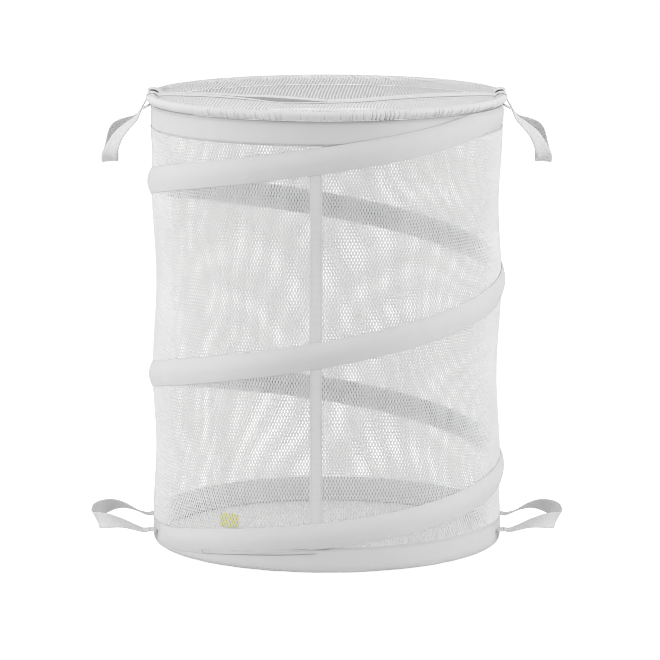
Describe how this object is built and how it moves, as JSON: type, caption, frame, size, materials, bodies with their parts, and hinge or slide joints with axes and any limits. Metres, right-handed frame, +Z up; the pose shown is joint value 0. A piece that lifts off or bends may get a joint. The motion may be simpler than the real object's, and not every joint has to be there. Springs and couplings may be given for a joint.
{
  "type": "pop up laundry hamper",
  "caption": "Pop up net laundry hamper: spiral spring wire in a cloth sleeve, bound rim and base, slit net lid and webbing loops.",
  "frame": {"origin": "on the ground, under the middle of the hamper's base, at the bottom centre of its box", "axes": "+Z up along the body; -Y is the front, the side with the seam tape; +X runs to the right as seen from the front, through the webbing loops"},
  "size_m": [0.61, 0.4604, 0.5815],
  "materials": {
    "net_cloth": "white knitted polyester net with small six sided holes",
    "floor_cloth": "plain white woven polyester",
    "band_cloth": "white woven polyester, matte with a faint sheen",
    "binding_cloth": "white woven polyester bias cloth, gathered round the hoop",
    "sleeve_cloth": "white woven polyester, stitched along both edges",
    "seam_tape": "white woven tape",
    "webbing": "white flat woven polypropylene webbing",
    "tag_cloth": "bare pale yellow sewn tag",
    "spring_steel": "drawn spring wire",
    "crimp_steel": "crimped steel ferrule",
    "cap_plastic": "soft moulded cap"
  },
  "bodies": {
    "base": {"base_hoop_wire": "spring_steel", "base_hoop_ferrule": "crimp_steel", "base_piping": "binding_cloth", "floor_panel": "floor_cloth", "bottom_band": "band_cloth", "mesh_wall": "net_cloth", "wall_seam_tape": "seam_tape", "spiral_wire": "spring_steel", "spiral_foot_cap": "cap_plastic", "spiral_sleeve": "sleeve_cloth", "sewn_tag": "tag_cloth", "base_left_front_tab": "webbing", "base_left_rear_tab": "webbing", "base_right_front_tab": "webbing", "base_right_rear_tab": "webbing"},
    "rim": {"top_hoop_wire": "spring_steel", "top_hoop_ferrule": "crimp_steel", "rim_binding": "binding_cloth", "top_band": "band_cloth", "spiral_top_cap": "cap_plastic", "top_left_rear_tab": "webbing", "top_left_front_tab": "webbing", "top_right_rear_tab": "webbing", "top_right_front_tab": "webbing"},
    "lid_front": {"lid_front_panel": "net_cloth", "lid_front_tape": "webbing"},
    "lid_rear": {"lid_rear_panel": "net_cloth", "lid_rear_tape": "webbing"},
    "top_left_handle": {"top_left_loop": "webbing"},
    "top_right_handle": {"top_right_loop": "webbing"},
    "base_left_handle": {"base_left_loop": "webbing"},
    "base_right_handle": {"base_right_loop": "webbing"}
  },
  "joints": [
    {"name": "collapse", "type": "slide", "parent": "base", "child": "rim", "axis": [0, 0, 1], "range_m": [-0.488, 0], "stiffness_N_per_m": 15, "springref_m": 0.35, "deforming": ["mesh_wall", "wall_seam_tape", "spiral_sleeve", "spiral_wire"]},
    {"name": "front_flap", "type": "hinge", "parent": "rim", "child": "lid_front", "pos_m": [0, -0.2167, 0.576], "axis": [1, 0, 0], "range_deg": [0, 30]},
    {"name": "rear_flap", "type": "hinge", "parent": "rim", "child": "lid_rear", "pos_m": [0, 0.2167, 0.576], "axis": [-1, 0, 0], "range_deg": [0, 30]},
    {"name": "top_left_swing", "type": "hinge", "parent": "rim", "child": "top_left_handle", "pos_m": [-0.2365, 0, 0.56], "axis": [0, 1, 0], "range_deg": [0, 110]},
    {"name": "top_right_swing", "type": "hinge", "parent": "rim", "child": "top_right_handle", "pos_m": [0.2365, 0, 0.56], "axis": [0, -1, 0], "range_deg": [0, 110]},
    {"name": "base_left_swing", "type": "hinge", "parent": "base", "child": "base_left_handle", "pos_m": [-0.228, 0, 0.0187], "axis": [0, 1, 0], "range_deg": [0, 60]},
    {"name": "base_right_swing", "type": "hinge", "parent": "base", "child": "base_right_handle", "pos_m": [0.228, 0, 0.0187], "axis": [0, -1, 0], "range_deg": [0, 60]}
  ]
}
